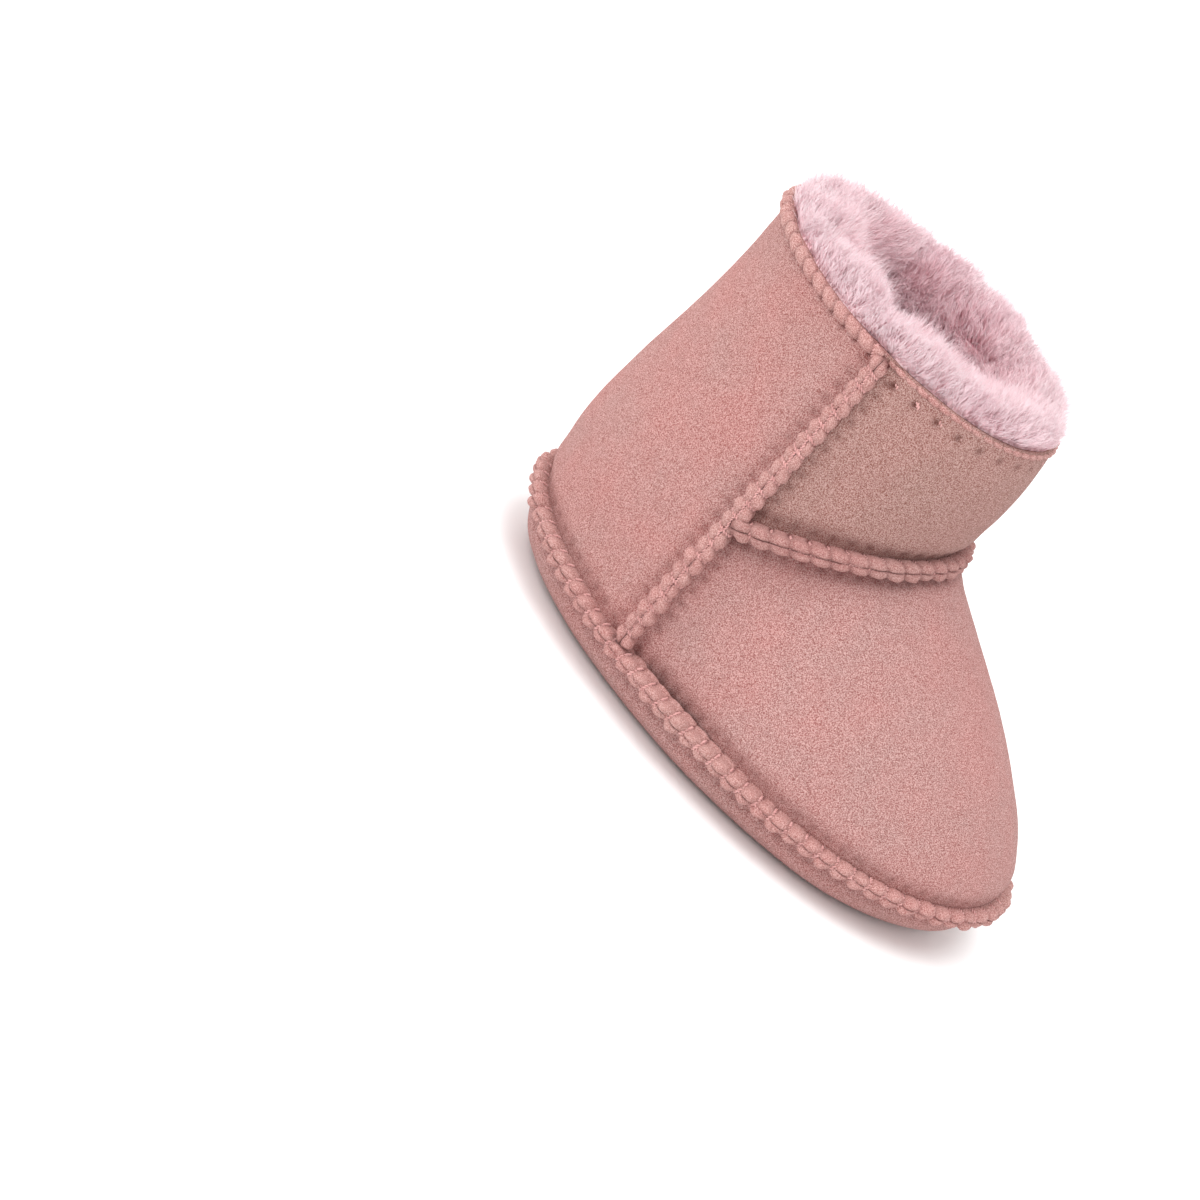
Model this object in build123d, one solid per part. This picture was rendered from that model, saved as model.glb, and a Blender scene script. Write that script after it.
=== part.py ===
from build123d import *
from math import atan2, cos, hypot, pi, radians, sin, sqrt
import os

# Soft pull-on baby bootie: four suede panels with wool inside, sewn with raised outside seams.
# Millimetres. The toe points to -Y, +Z is up and Z = 0 is the ground under the sole.
# Upper panels are lofted round a vertical axis that passes midway between the two side seams.
# An angle of 0 looks from that axis to the toe, 90 degrees to the +X side seam, 180 to the heel.

# Sole
SOLE_DEPTH = 9.0            # ground to the sole seam
SOLE_HALF_LENGTH = 58.2     # foot wall at the sole seam
SOLE_HALF_WIDTH = 35.5
TOE_FULLNESS = 0.088        # how much wider the toe end is than the heel end
TOE_SPRING = 2.3            # rise of the sole seam at the toe
HEEL_SPRING = 2.1           # rise of the sole seam at the heel
SOLE_SQUARENESS = 3.5       # exponent of the bulging side of the sole
PATCH_SCALE = 0.72          # flat patch under the sole, as a share of the outline
BOWL_LEVELS = (1.0, 0.94, 0.8, 0.55, 0.25)      # depths of the sole's sections, ground = 1
BOWL_HEAD = 6.0             # the sole's cutting shapes go on this far above its seam
CUT_MARGIN = 10.0           # and this far past its outline

# Shaft and ankle
AXIS_Y = 22.0               # both side seams lie at this Y
SHAFT_HEIGHT = 76.5         # sole seam to collar
COLLAR_TILT = 1.0           # the back of the collar is this much above its middle
COLLAR_Y = 25.2
COLLAR_HALF_WIDTH = 28.0
COLLAR_HALF_LENGTH = 33.7
ANKLE_HALF_LENGTH = 31.6    # front of the shaft where it would reach the sole
HEEL_BELLY = 3.4            # outward bulge of the wall low on the heel
SIDE_BELLY = 2.0
VAMP_BELLY = 3.1
SHAFT_CROWN = 1.9           # outward bulge of the front shaft panel
CREASE_HEIGHT = 33.7        # instep seam above the sole seam, at the side seams
CREASE_SLOPE = 0.40         # the instep seam climbs this much for each mm forwards
DOME_POWER = 1.54           # how fully the vamp stands up over the toes

# Skin, wool, lips and thread
SKIN = 1.3
PILE = 6.5                  # from the outside of the skin to the inside of the wool
PILE_RISE = 4.0             # wool standing above the collar
LIP = 2.1                   # thickness of one turned-out panel edge
SOLE_REACH = 4.2            # how far the sole seam stands out
SEAM_REACH = 3.6            # how far the other seams stand out
SIDE_LIP_FOOT = 1.2         # from the sole lip up to the start of the side lips
SIDE_LIP_HEAD = 1.0         # from the end of the side lips up to the collar
GAP = 0.1                   # clearance between neighbouring pieces
THREAD = 0.5
STITCH = 4.0                # pitch of the overcast stitches
SOLE_LEGS = (2.2, 1.2)      # where a stitch's two legs leave the skin, out from the seam line
SIDE_LEGS = (0.9, 0.9)
INSTEP_LEGS = (1.8, 3.75)
SIDE_FIRST = 7.0            # lowest side stitch above the sole seam
SIDE_LAST = 3.0             # highest side stitch below the collar
INSTEP_END = radians(12)    # the instep's first stitch is this far round from the side seam
COLLAR_STITCH = 4.6
COLLAR_END = radians(10)    # and the collar's first stitch this far
HOOK = 3.0                  # how far a collar stitch reaches down the skin

SIDE = pi / 2
SECTION_STEP = radians(12)
SEAM_ANGLE = radians(0.25)  # keeps neighbouring panels apart at a side seam
PILE_END = 0.01             # wool stops this share of its panel short of a seam


def mix(low, high, share):
    return low + (high - low) * share


def spread(low, high, count):
    return [mix(low, high, i / (count - 1)) for i in range(count)]


def swell(share):
    """Bulge that is 1 a quarter of the way up and 0 at both ends."""
    return 9.48 * share * (1 - share) ** 3


def at(angle, radius, height):
    """Point at a radius from the seam axis, in the direction of angle."""
    return Vector(radius * sin(angle), AXIS_Y - radius * cos(angle), height)


def seam_rise(y):
    """Height of the sole seam above its level at mid-foot."""
    share = y / SOLE_HALF_LENGTH
    spring = HEEL_SPRING if share > 0 else TOE_SPRING
    return spring * abs(share) ** 3


# Plan of the sole and of the shaft

def sole_outline(turn, offset=0.0):
    """Plan point of the sole outline, moved outwards by offset. Turn 0 is the heel, pi the toe."""
    x = SOLE_HALF_WIDTH * (1 - TOE_FULLNESS * cos(turn)) * sin(turn)
    y = SOLE_HALF_LENGTH * cos(turn)
    along_x = SOLE_HALF_WIDTH * (cos(turn) - TOE_FULLNESS * cos(2 * turn))
    along_y = -SOLE_HALF_LENGTH * sin(turn)
    size = hypot(along_x, along_y)
    return x - offset * along_y / size, y + offset * along_x / size


def sole_radius(angle, offset=0.0):
    """Distance from the seam axis to the offset sole outline."""
    target = min(abs(angle), 2 * pi - abs(angle))
    low, high = 0.0, pi
    for _ in range(50):
        turn = (low + high) / 2
        x, y = sole_outline(turn, offset)
        if atan2(x, AXIS_Y - y) > target:
            low = turn
        else:
            high = turn
    return hypot(x, AXIS_Y - y)


def oval_radius(angle, half_width, half_length):
    """Distance from the seam axis to an oval centred under the collar."""
    shift = AXIS_Y - COLLAR_Y
    a = (sin(angle) / half_width) ** 2 + (cos(angle) / half_length) ** 2
    b = -2 * shift * cos(angle) / half_length ** 2
    c = (shift / half_length) ** 2 - 1
    return (sqrt(b * b - 4 * a * c) - b) / (2 * a)


def shaft_radius(angle, height, inset):
    """Radius of the near-vertical heel and shaft wall, height measured from the sole seam."""
    share = height / SHAFT_HEIGHT
    top = oval_radius(angle, COLLAR_HALF_WIDTH - inset, COLLAR_HALF_LENGTH - inset)
    if cos(angle) < 0:
        low = sole_radius(angle, -inset)
        belly = mix(SIDE_BELLY, HEEL_BELLY, cos(angle) ** 2)
    else:
        side = sole_radius(SIDE, -inset)
        half_length = ANKLE_HALF_LENGTH - inset
        half_width = side / sqrt(1 - ((AXIS_Y - COLLAR_Y) / half_length) ** 2)
        low = oval_radius(angle, half_width, half_length)
        belly = SIDE_BELLY * sin(angle) ** 2
    return mix(low, top, share) + belly * swell(share)


def crease(angle, inset):
    """Radius and height of the instep seam, where the vamp meets the shaft."""
    height = CREASE_HEIGHT
    for _ in range(12):
        radius = shaft_radius(angle, height, inset)
        height = CREASE_HEIGHT + CREASE_SLOPE * radius * cos(angle)
    return radius, height


# Wall surfaces: each gives a radius and a height above ground for a share of the way up

def seam_height(angle, offset=0.0):
    y = AXIS_Y - sole_radius(angle, offset) * cos(angle)
    return SOLE_DEPTH + seam_rise(y)


def collar_height(angle):
    y = AXIS_Y - oval_radius(angle, COLLAR_HALF_WIDTH, COLLAR_HALF_LENGTH) * cos(angle)
    return SOLE_DEPTH + SHAFT_HEIGHT + COLLAR_TILT * (y - COLLAR_Y) / COLLAR_HALF_LENGTH


def vamp_point(angle, share, inset=0.0):
    crease_radius, crease_height = crease(angle, inset)
    radius = mix(sole_radius(angle, -inset), crease_radius, share ** DOME_POWER)
    radius += VAMP_BELLY * swell(share)
    wall = shaft_radius(angle, crease_height * share, inset)
    height = mix(seam_height(angle, -inset), SOLE_DEPTH + crease_height, share)
    return mix(radius, wall, sin(angle) ** 8), height


def front_shaft_point(angle, share, inset=0.0):
    crease_height = crease(angle, inset)[1]
    height = mix(SOLE_DEPTH + crease_height, collar_height(angle), share)
    radius = shaft_radius(angle, height - SOLE_DEPTH, inset)
    return radius + SHAFT_CROWN * cos(angle) * sin(pi * share), height


def quarter_point(angle, share, inset=0.0):
    height = mix(seam_height(angle, -inset), collar_height(angle), share)
    return shaft_radius(angle, SHAFT_HEIGHT * share, inset), height


# Panels and their wool, as sections lofted round the seam axis

def section(angle, corners, outer, inner):
    """Closed section: spline up the outer points, the corners, then spline down the inner points."""
    up = Spline(*[at(angle, *point) for point in outer])
    down = Spline(*[at(angle, *point) for point in inner])
    top, bottom = corners
    over = Polyline(*[at(angle, *point) for point in [outer[-1], *top, inner[0]]])
    under = Polyline(*[at(angle, *point) for point in [inner[-1], *bottom, outer[0]]])
    return Wire([*up.edges(), *over.edges(), *down.edges(), *under.edges()])


def around(low, high, make):
    """Solid lofted through the sections that make gives from angle low to angle high."""
    count = max(3, round((high - low) / SECTION_STEP) + 1)
    return Solid.make_loft([make(angle) for angle in spread(low, high, count)])


def sole_lip(angle):
    """Corners of the panel edge turned out over the sole seam, from the inside outwards."""
    reach = sole_radius(angle, SOLE_REACH)
    height = seam_height(angle, SOLE_REACH)
    return [(reach, height + GAP), (reach, height + LIP)]


def crease_lip(angle, low, high):
    """Corners of the panel edge turned out along the instep seam, between two offsets from it."""
    radius, height = crease(angle, 0.0)
    reach = radius + SEAM_REACH
    tip = SOLE_DEPTH + height + CREASE_SLOPE * cos(angle) * SEAM_REACH
    return [(reach, tip + low), (reach, tip + high)]


def lifted(point, rise):
    return point[0], point[1] + rise


def vamp_section(angle):
    lip_share = LIP / crease(angle, 0.0)[1]
    outer = [vamp_point(angle, share) for share in spread(lip_share, 1 - lip_share, 9)]
    inner = [vamp_point(angle, share, SKIN) for share in spread(1, 0, 9)]
    inner[0] = lifted(inner[0], -GAP)
    inner[-1] = lifted(inner[-1], GAP)
    return section(angle, (crease_lip(angle, -LIP, -GAP), sole_lip(angle)), outer, inner)


def front_shaft_section(angle):
    radius, height = crease(angle, 0.0)
    lip_share = LIP / (SHAFT_HEIGHT - height)
    outer = [front_shaft_point(angle, share) for share in spread(lip_share, 1, 7)]
    inner = [front_shaft_point(angle, share, SKIN) for share in spread(1, 0, 7)]
    inner[-1] = lifted(inner[-1], GAP)
    return section(angle, ([], crease_lip(angle, GAP, LIP)), outer, inner)


def quarter_section(angle):
    outer = [quarter_point(angle, share) for share in spread(LIP / SHAFT_HEIGHT, 1, 9)]
    inner = [quarter_point(angle, share, SKIN) for share in spread(1, 0, 9)]
    inner[-1] = lifted(inner[-1], GAP)
    return section(angle, ([], sole_lip(angle)), outer, inner)


def pile_section(angle, point, foot, head):
    """Wool behind a panel, from foot to head as shares of the panel's height."""
    outer = [point(angle, share, SKIN + GAP) for share in spread(foot, head, 8)]
    inner = [point(angle, share, SKIN + PILE) for share in spread(head, foot, 8)]
    return section(angle, ([], []), outer, inner)


def side_lip(side, low, high, y_low, y_high):
    """Panel edge turned out along a side seam, between two heights above the sole seam."""
    heights = spread(low, high, 7)
    wall = [(side * (shaft_radius(SIDE, h, 0.0) - SKIN / 2), SOLE_DEPTH + h) for h in heights]
    rim = [(side * (shaft_radius(SIDE, h, 0.0) + SEAM_REACH), SOLE_DEPTH + h) for h in heights[::-1]]
    face_plane = Plane(origin=(0, y_high, 0), x_dir=(1, 0, 0), z_dir=(0, -1, 0))
    outline = Wire([
        *Spline(*wall).edges(),
        *Line(wall[-1], rim[0]).edges(),
        *Spline(*rim).edges(),
        *Line(rim[-1], wall[0]).edges(),
    ])
    return extrude(face_plane * Face(outline), y_high - y_low, dir=(0, -1, 0))


def with_lips(panel, low, high, y_low, y_high):
    for side in (-1, 1):
        panel = panel + side_lip(side, low, high, y_low, y_high)
    return panel


def vamp_panel():
    edge = SIDE - SEAM_ANGLE
    panel = around(-edge, edge, vamp_section)
    return with_lips(panel, LIP + SIDE_LIP_FOOT, CREASE_HEIGHT - GAP, AXIS_Y - LIP, AXIS_Y - GAP)


def front_shaft_panel():
    edge = SIDE - SEAM_ANGLE
    panel = around(-edge, edge, front_shaft_section)
    foot = CREASE_HEIGHT + CREASE_SLOPE * LIP + GAP
    return with_lips(panel, foot, SHAFT_HEIGHT - SIDE_LIP_HEAD, AXIS_Y - LIP, AXIS_Y - GAP)


def heel_quarter_panel():
    edge = SIDE + SEAM_ANGLE
    panel = around(edge, 2 * pi - edge, quarter_section)
    foot = LIP + SIDE_LIP_FOOT
    return with_lips(panel, foot, SHAFT_HEIGHT - SIDE_LIP_HEAD, AXIS_Y + GAP, AXIS_Y + LIP)


def vamp_pile():
    edge = SIDE - SEAM_ANGLE
    head = 1 - PILE_END
    return around(-edge, edge, lambda angle: pile_section(angle, vamp_point, PILE_END, head))


def front_shaft_pile():
    edge = SIDE - SEAM_ANGLE
    head = 1 + PILE_RISE / (SHAFT_HEIGHT - CREASE_HEIGHT)
    return around(-edge, edge, lambda angle: pile_section(angle, front_shaft_point, PILE_END, head))


def heel_quarter_pile():
    edge = SIDE + SEAM_ANGLE
    head = 1 + PILE_RISE / SHAFT_HEIGHT
    return around(edge, 2 * pi - edge, lambda angle: pile_section(angle, quarter_point, PILE_END, head))


# Sole

def outline_wire(scale, inset, height):
    points = [sole_outline(turn, -inset) for turn in spread(0, 2 * pi, 41)[:-1]]
    return Wire([Spline(*[Vector(scale * x, scale * y, height) for x, y in points], periodic=True)])


def bowl(inset, head):
    """Solid inside of the sole skin moved inwards by inset, up to a height of head."""
    wires = []
    for share in BOWL_LEVELS:
        scale = max(PATCH_SCALE, (1 - share ** SOLE_SQUARENESS) ** (1 / SOLE_SQUARENESS))
        depth = share * (SOLE_DEPTH - inset)
        wires.append(outline_wire(scale, inset, SOLE_DEPTH - depth))
    wires.append(outline_wire(1.0, inset, SOLE_DEPTH))
    wires.append(outline_wire(1.0, inset, head))
    return Solid.make_loft(wires)


def below_seam(drop, depth):
    """Slab under the sole seam surface, its top drop below the seam and its floor depth below."""
    half_length = SOLE_HALF_LENGTH + CUT_MARGIN
    ys = spread(-half_length, half_length, 25)
    roof = [(y, SOLE_DEPTH + seam_rise(y) - drop) for y in ys]
    floor = [(y, SOLE_DEPTH + seam_rise(y) - depth) for y in ys[::-1]]
    outline = Wire([
        *Spline(*roof).edges(),
        *Line(roof[-1], floor[0]).edges(),
        *Spline(*floor).edges(),
        *Line(floor[-1], roof[0]).edges(),
    ])
    half_width = SOLE_HALF_WIDTH + CUT_MARGIN
    side_plane = Plane(origin=(-half_width, 0, 0), x_dir=(0, 1, 0), z_dir=(1, 0, 0))
    return extrude(side_plane * Face(outline), 2 * half_width, dir=(1, 0, 0))


def sole_panel():
    head = SOLE_DEPTH + BOWL_HEAD
    ring = Solid.make_loft([outline_wire(1.0, -SOLE_REACH, 0), outline_wire(1.0, -SOLE_REACH, head)])
    flange = ring & below_seam(GAP, LIP)
    body = bowl(0.0, head) & below_seam(GAP, 2 * SOLE_DEPTH)
    return body + flange - bowl(SKIN, head)


def sole_pile():
    head = SOLE_DEPTH + BOWL_HEAD
    return bowl(SKIN + GAP, head) & below_seam(3 * GAP, 2 * SOLE_DEPTH) - bowl(SKIN + PILE, head)


# Thread: every stitch is a clip of thread over the seam's turned-out edges

def clip(place, legs, spacing, reach, climb=0.0):
    """Thread clip over a seam. Place has X outwards and Y across the seam; legs start at these X."""
    near, far = spacing, spacing + THREAD
    inner, outer = reach + spacing - LIP, reach + spacing - LIP + THREAD
    corners = [
        (legs[0], far), (outer, far), (outer, -far), (legs[1], -far),
        (legs[1], -near), (inner, -near), (inner, near), (legs[0], near)]
    shape = Polygon(*[(x, y + climb * x) for x, y in corners], align=None)
    return extrude(place * shape, THREAD / 2, both=True)


def even_steps(points, pitch):
    """Indices of points that lie about pitch apart along a dense run of points."""
    chosen, walked = [0], 0.0
    for i in range(1, len(points)):
        walked += (points[i] - points[i - 1]).length
        if walked >= pitch:
            chosen.append(i)
            walked -= pitch
    return chosen


def radial_plane(angle, radius, height, slope=0.0):
    """Upright plane through the seam axis, X outwards and climbing by slope."""
    outwards = Vector(sin(angle), -cos(angle), slope).normalized()
    across = Vector(-cos(angle), -sin(angle), 0)
    return Plane(origin=at(angle, radius, height), x_dir=outwards, z_dir=across)


def sole_seam_thread():
    turns = spread(0, 2 * pi, 2001)
    points = [Vector(*sole_outline(turn, SOLE_REACH), 0) for turn in turns]
    chosen = even_steps(points, STITCH)
    stitches = []
    for i in chosen[:-1]:
        x, y = sole_outline(turns[i], 0.0)
        tip_x, tip_y = sole_outline(turns[i], SOLE_REACH)
        outwards = Vector(tip_x - x, tip_y - y, 0).normalized()
        climb = (seam_rise(tip_y) - seam_rise(y)) / SOLE_REACH
        across = Vector(outwards.Y, -outwards.X, 0)
        place = Plane(origin=(x, y, SOLE_DEPTH + seam_rise(y)), x_dir=outwards, z_dir=across)
        stitches.append(clip(place, SOLE_LEGS, LIP + 2.5 * GAP, SOLE_REACH, climb))
    return stitches


def side_seam_thread(side):
    count = round((SHAFT_HEIGHT - SIDE_FIRST - SIDE_LAST) / STITCH)
    stitches = []
    for height in spread(SIDE_FIRST, SHAFT_HEIGHT - SIDE_LAST, count):
        if -STITCH / 2 < height - CREASE_HEIGHT < STITCH:
            continue
        slope = (shaft_radius(SIDE, height + 1, 0.0) - shaft_radius(SIDE, height - 1, 0.0)) / 2
        origin = Vector(side * shaft_radius(SIDE, height, 0.0), AXIS_Y, SOLE_DEPTH + height)
        outwards = Vector(side, 0, -slope).normalized()
        along = Vector(side * slope, 0, 1).normalized()
        place = Plane(origin=origin, x_dir=outwards, z_dir=along)
        stitches.append(clip(place, SIDE_LEGS, LIP + GAP, SEAM_REACH))
    return stitches


def instep_seam_thread():
    edge = SIDE - INSTEP_END
    angles = spread(-edge, edge, 801)
    points = []
    for angle in angles:
        radius, height = crease(angle, 0.0)
        points.append(at(angle, radius + SEAM_REACH, height))
    stitches = []
    for i in even_steps(points, STITCH):
        angle = angles[i]
        radius, height = crease(angle, 0.0)
        place = radial_plane(angle, radius, SOLE_DEPTH + height)
        climb = CREASE_SLOPE * cos(angle)
        stitches.append(clip(place, INSTEP_LEGS, LIP + 2 * GAP, SEAM_REACH, climb))
    return stitches


def collar_thread(low, high, point):
    """Stitches that come out of the skin below the collar and pass over its edge."""
    angles = spread(low, high, 1201)
    edge = [at(angle, point(angle, 1)[0], 0) for angle in angles]
    stitches = []
    for i in even_steps(edge, COLLAR_STITCH):
        angle = angles[i]
        radius, height = point(angle, 1)
        below, lower = point(angle, 1 - HOOK / SHAFT_HEIGHT)
        place = radial_plane(angle, radius, height, (below - radius) / (height - lower))
        over = 3 * GAP
        hook = Polygon(
            (-SKIN, over), (GAP, over), (GAP, -HOOK), (GAP + THREAD, -HOOK),
            (GAP + THREAD, over + THREAD), (-SKIN, over + THREAD), align=None)
        stitches.append(extrude(place * hook, THREAD / 2, both=True))
    return stitches


def write(name, shape):
    solids = shape if isinstance(shape, list) else [shape]
    solids = [solid for item in solids for solid in item.solids()]
    whole = solids[0] if len(solids) == 1 else Compound(children=solids)
    whole.label = name
    export_step(whole, f"parts/{name}.step")


def main():
    os.makedirs("parts", exist_ok=True)
    edge = SIDE - COLLAR_END
    write("sole_panel", sole_panel())
    write("sole_pile", sole_pile())
    write("vamp_panel", vamp_panel())
    write("vamp_pile", vamp_pile())
    write("front_shaft_panel", front_shaft_panel())
    write("front_shaft_pile", front_shaft_pile())
    write("heel_quarter_panel", heel_quarter_panel())
    write("heel_quarter_pile", heel_quarter_pile())
    write("sole_seam_thread", sole_seam_thread())
    write("left_side_seam_thread", side_seam_thread(1))
    write("right_side_seam_thread", side_seam_thread(-1))
    write("instep_seam_thread", instep_seam_thread())
    write("collar_thread_front", collar_thread(-edge, edge, front_shaft_point))
    write("collar_thread_back", collar_thread(pi - edge, pi + edge, quarter_point))


main()
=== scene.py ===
"""Looks of the baby bootie: suede panels, puffy overcast seams, twisted thread, loose wool."""
from math import pi, radians

import bpy
import numpy as np
from mathutils import Matrix, Vector


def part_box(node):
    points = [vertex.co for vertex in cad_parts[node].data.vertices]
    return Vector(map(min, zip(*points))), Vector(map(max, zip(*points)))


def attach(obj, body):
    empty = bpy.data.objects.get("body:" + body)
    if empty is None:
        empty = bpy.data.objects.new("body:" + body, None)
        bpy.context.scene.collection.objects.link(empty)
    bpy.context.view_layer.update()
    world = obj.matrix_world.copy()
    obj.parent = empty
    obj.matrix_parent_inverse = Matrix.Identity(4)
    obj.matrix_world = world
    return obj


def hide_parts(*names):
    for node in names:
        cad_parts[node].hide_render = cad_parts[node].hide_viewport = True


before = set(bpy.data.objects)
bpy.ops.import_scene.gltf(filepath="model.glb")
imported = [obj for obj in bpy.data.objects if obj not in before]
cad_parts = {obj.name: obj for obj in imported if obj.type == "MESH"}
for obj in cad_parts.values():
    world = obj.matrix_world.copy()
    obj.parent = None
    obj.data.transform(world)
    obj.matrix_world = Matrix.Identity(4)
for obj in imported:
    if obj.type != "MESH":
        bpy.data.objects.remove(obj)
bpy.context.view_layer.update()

MM = 0.001  # lengths below are in millimetres until a mesh is made
SEED = 20
CHUNK = 3000  # points compared at once, to spare memory
NOISE_CELLS = 32
NOISE_SHIFT = 100.0  # keeps every cell number positive
BISECTIONS, CREASE_STEPS = 40, 12


def cad(node):
    """Lowest and highest corners of a CAD node, in millimetres."""
    low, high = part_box(node)
    return np.array(low) / MM, np.array(high) / MM


# Shape, the same law as the CAD panels follow
SOLE_REACH = 4.2
SKIN = 1.3
GAP = 0.1  # from a panel's cut edge to its seam
WIDEST = 1.0039  # half-width of the sole outline over its nominal half-width
COLLAR_TILT = 1.0
SOLE_DEPTH = 9.0
SOLE_HALF_LENGTH = cad("sole_panel")[1][1] - SOLE_REACH
SOLE_HALF_WIDTH = (cad("sole_panel")[1][0] - SOLE_REACH) / WIDEST
AXIS_Y = cad("heel_quarter_panel")[0][1] - GAP
SHAFT_HEIGHT = cad("heel_quarter_panel")[1][2] - COLLAR_TILT - SOLE_DEPTH
TOE_FULLNESS = 0.088
TOE_SPRING = 2.3
HEEL_SPRING = 2.1
SOLE_SQUARENESS = 3.5
SOLE_FLATNESS = 1.2  # power that keeps the sole's wall from dropping too early
PATCH_SCALE = 0.72
PATCH_HOLE = 0.0001  # size left at the middle of the flat patch
COLLAR_Y = 25.2
COLLAR_HALF_WIDTH = 28.0
COLLAR_HALF_LENGTH = 33.7
ANKLE_HALF_LENGTH = 31.6
HEEL_BELLY = 3.4
SIDE_BELLY = 2.0
VAMP_BELLY = 3.1
SHAFT_CROWN = 1.9
CREASE_HEIGHT = 33.7
CREASE_SLOPE = 0.40
DOME_POWER = 1.54
SWELL_SCALE = 9.48  # makes the fullest point of a swell 1
SIDE = pi / 2

# Stitching
PITCH = 3.6
SIDE_PITCH = 3.4
COLLAR_PITCH = 3.5
SCALLOP_PITCH = 2.6
HOLE_PITCH = 5.0
SLANT = -0.32  # how far the stitches lean along the seam for each mm across it
STITCH_SPREAD = 0.15
THREAD_RADIUS = 0.19
THREAD_STEP, THREAD_SIDES = 0.16, 6
PLIES = 2
PLY_RADIUS = 1.05  # over the radius they are wound at, so that plies touch
LAY = 1.3  # length of one turn of the plies
STITCH_REACH = 0.68  # of a turned edge's reach
STITCH_HEIGHT = 0.52  # of a turned edge's thickness
CHAIN_THREAD = 0.85  # of a stitch's thread radius

# Turned edges, as shares of a seam's reach and thickness: at a stitch, at a full lobe
REACH_SHARE = (0.70, 1.00)
THICKNESS_SHARE = (0.54, 0.96)
TAIL_SHARE = (0.60, 0.78)
LOBE_SPREAD = 0.18
LOBE_POWER = 0.80
EVEN_PUFF = 0.8  # puff of an edge whose stitches leave no relief
PINCH_SPAN = 0.55
EDGE_STEP = 0.28
EDGE_TAPER = 1.5  # from a turned edge's end to its full size

# What a seam does to the skin beside it: amount, distance from the seam and width
RIDGE = (0.42, 5.5, 2.4)
DIMPLE = (0.35, 3.2, 1.2)
# painted shade in the dimple at each stitch
DIMPLE_PAINTED_SHADE = (0.30, 3.2, 0.7)
# width of the painted shadow beside a seam
PAINTED_SHADOW_WIDTH = 5.0
SEAM_INFLUENCE = 9.0  # nothing happens further away

# Unevenness of each surface: scale, height and seed of each layer of noise
EDGE_BUMPS = ((0.55, 0.10, 6), (0.9, 0.16, 3), (2.3, 0.26, 4))
SKIN_BUMPS = ((22, 0.45, 1), (9, 0.16, 2), (2.6, 0.035, 5))
SOLE_BUMPS = ((16, 0.4, 1), (6, 0.12, 2))
ROLL_BUMPS = ((0.6, 0.10, 9), (1.4, 0.22, 8))
WOOL_BUMPS = ((4.2, 0.7, 11), (1.9, 0.35, 12))
LENGTH_BUMPS = ((7.0, 0.28, 31), (3.0, 0.22, 32))


def mix(low, high, share):
    return low + (high - low) * share


def bell(distance, width):
    return np.exp(-(distance / width) ** 2)


def swell(share):
    """Bulge of a wall, fullest a quarter of the way up."""
    return SWELL_SCALE * share * (1 - share) ** 3


def seam_rise(y):
    """How far the sole seam stands above its lowest point."""
    share = y / SOLE_HALF_LENGTH
    return np.where(share > 0, HEEL_SPRING, TOE_SPRING) * np.abs(share) ** 3


def at(angle, radius, height):
    """Points at a radius from the seam axis; angle 0 looks to the toe."""
    angle, radius, height = np.broadcast_arrays(angle, radius, height)
    return np.stack([radius * np.sin(angle), AXIS_Y - radius * np.cos(angle), height], -1)


def sole_outline(turn, offset=0.0):
    """Sole seam from above, or a line at an offset outside it; turn 0 is the heel."""
    x = SOLE_HALF_WIDTH * (1 - TOE_FULLNESS * np.cos(turn)) * np.sin(turn)
    y = SOLE_HALF_LENGTH * np.cos(turn)
    along_x = SOLE_HALF_WIDTH * (np.cos(turn) - TOE_FULLNESS * np.cos(2 * turn))
    along_y = -SOLE_HALF_LENGTH * np.sin(turn)
    size = np.hypot(along_x, along_y)
    return x - offset * along_y / size, y + offset * along_x / size


def sole_radius(angle):
    """Distance of the sole seam from the seam axis."""
    target = np.minimum(np.abs(angle), 2 * pi - np.abs(angle))
    low, high = np.zeros_like(target), np.full_like(target, pi)
    for _ in range(BISECTIONS):
        turn = (low + high) / 2
        x, y = sole_outline(turn)
        past = np.arctan2(x, AXIS_Y - y) > target
        low, high = np.where(past, turn, low), np.where(past, high, turn)
    return np.hypot(x, AXIS_Y - y)


def oval_radius(angle, half_width, half_length):
    """Distance from the seam axis of an oval round the collar's centre."""
    shift = AXIS_Y - COLLAR_Y
    a = (np.sin(angle) / half_width) ** 2 + (np.cos(angle) / half_length) ** 2
    b = -2 * shift * np.cos(angle) / half_length ** 2
    c = (shift / half_length) ** 2 - 1
    return (np.sqrt(b * b - 4 * a * c) - b) / (2 * a)


def shaft_radius(angle, height):
    """Outer radius of the shaft at a height above the sole seam."""
    share = height / SHAFT_HEIGHT
    top = oval_radius(angle, COLLAR_HALF_WIDTH, COLLAR_HALF_LENGTH)
    side = sole_radius(np.array([SIDE]))[0]
    half_width = side / np.sqrt(1 - ((AXIS_Y - COLLAR_Y) / ANKLE_HALF_LENGTH) ** 2)
    front = np.cos(angle) >= 0
    low = np.where(front, oval_radius(angle, half_width, ANKLE_HALF_LENGTH), sole_radius(angle))
    belly = np.where(front, SIDE_BELLY * np.sin(angle) ** 2,
                     mix(SIDE_BELLY, HEEL_BELLY, np.cos(angle) ** 2))
    return mix(low, top, share) + belly * swell(share)


def crease(angle):
    """Radius and height of the instep seam; height is measured from the sole seam."""
    height = np.full_like(angle, CREASE_HEIGHT)
    for _ in range(CREASE_STEPS):
        radius = shaft_radius(angle, height)
        height = CREASE_HEIGHT + CREASE_SLOPE * radius * np.cos(angle)
    return radius, height


def seam_height(angle):
    return SOLE_DEPTH + seam_rise(AXIS_Y - sole_radius(angle) * np.cos(angle))


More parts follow.
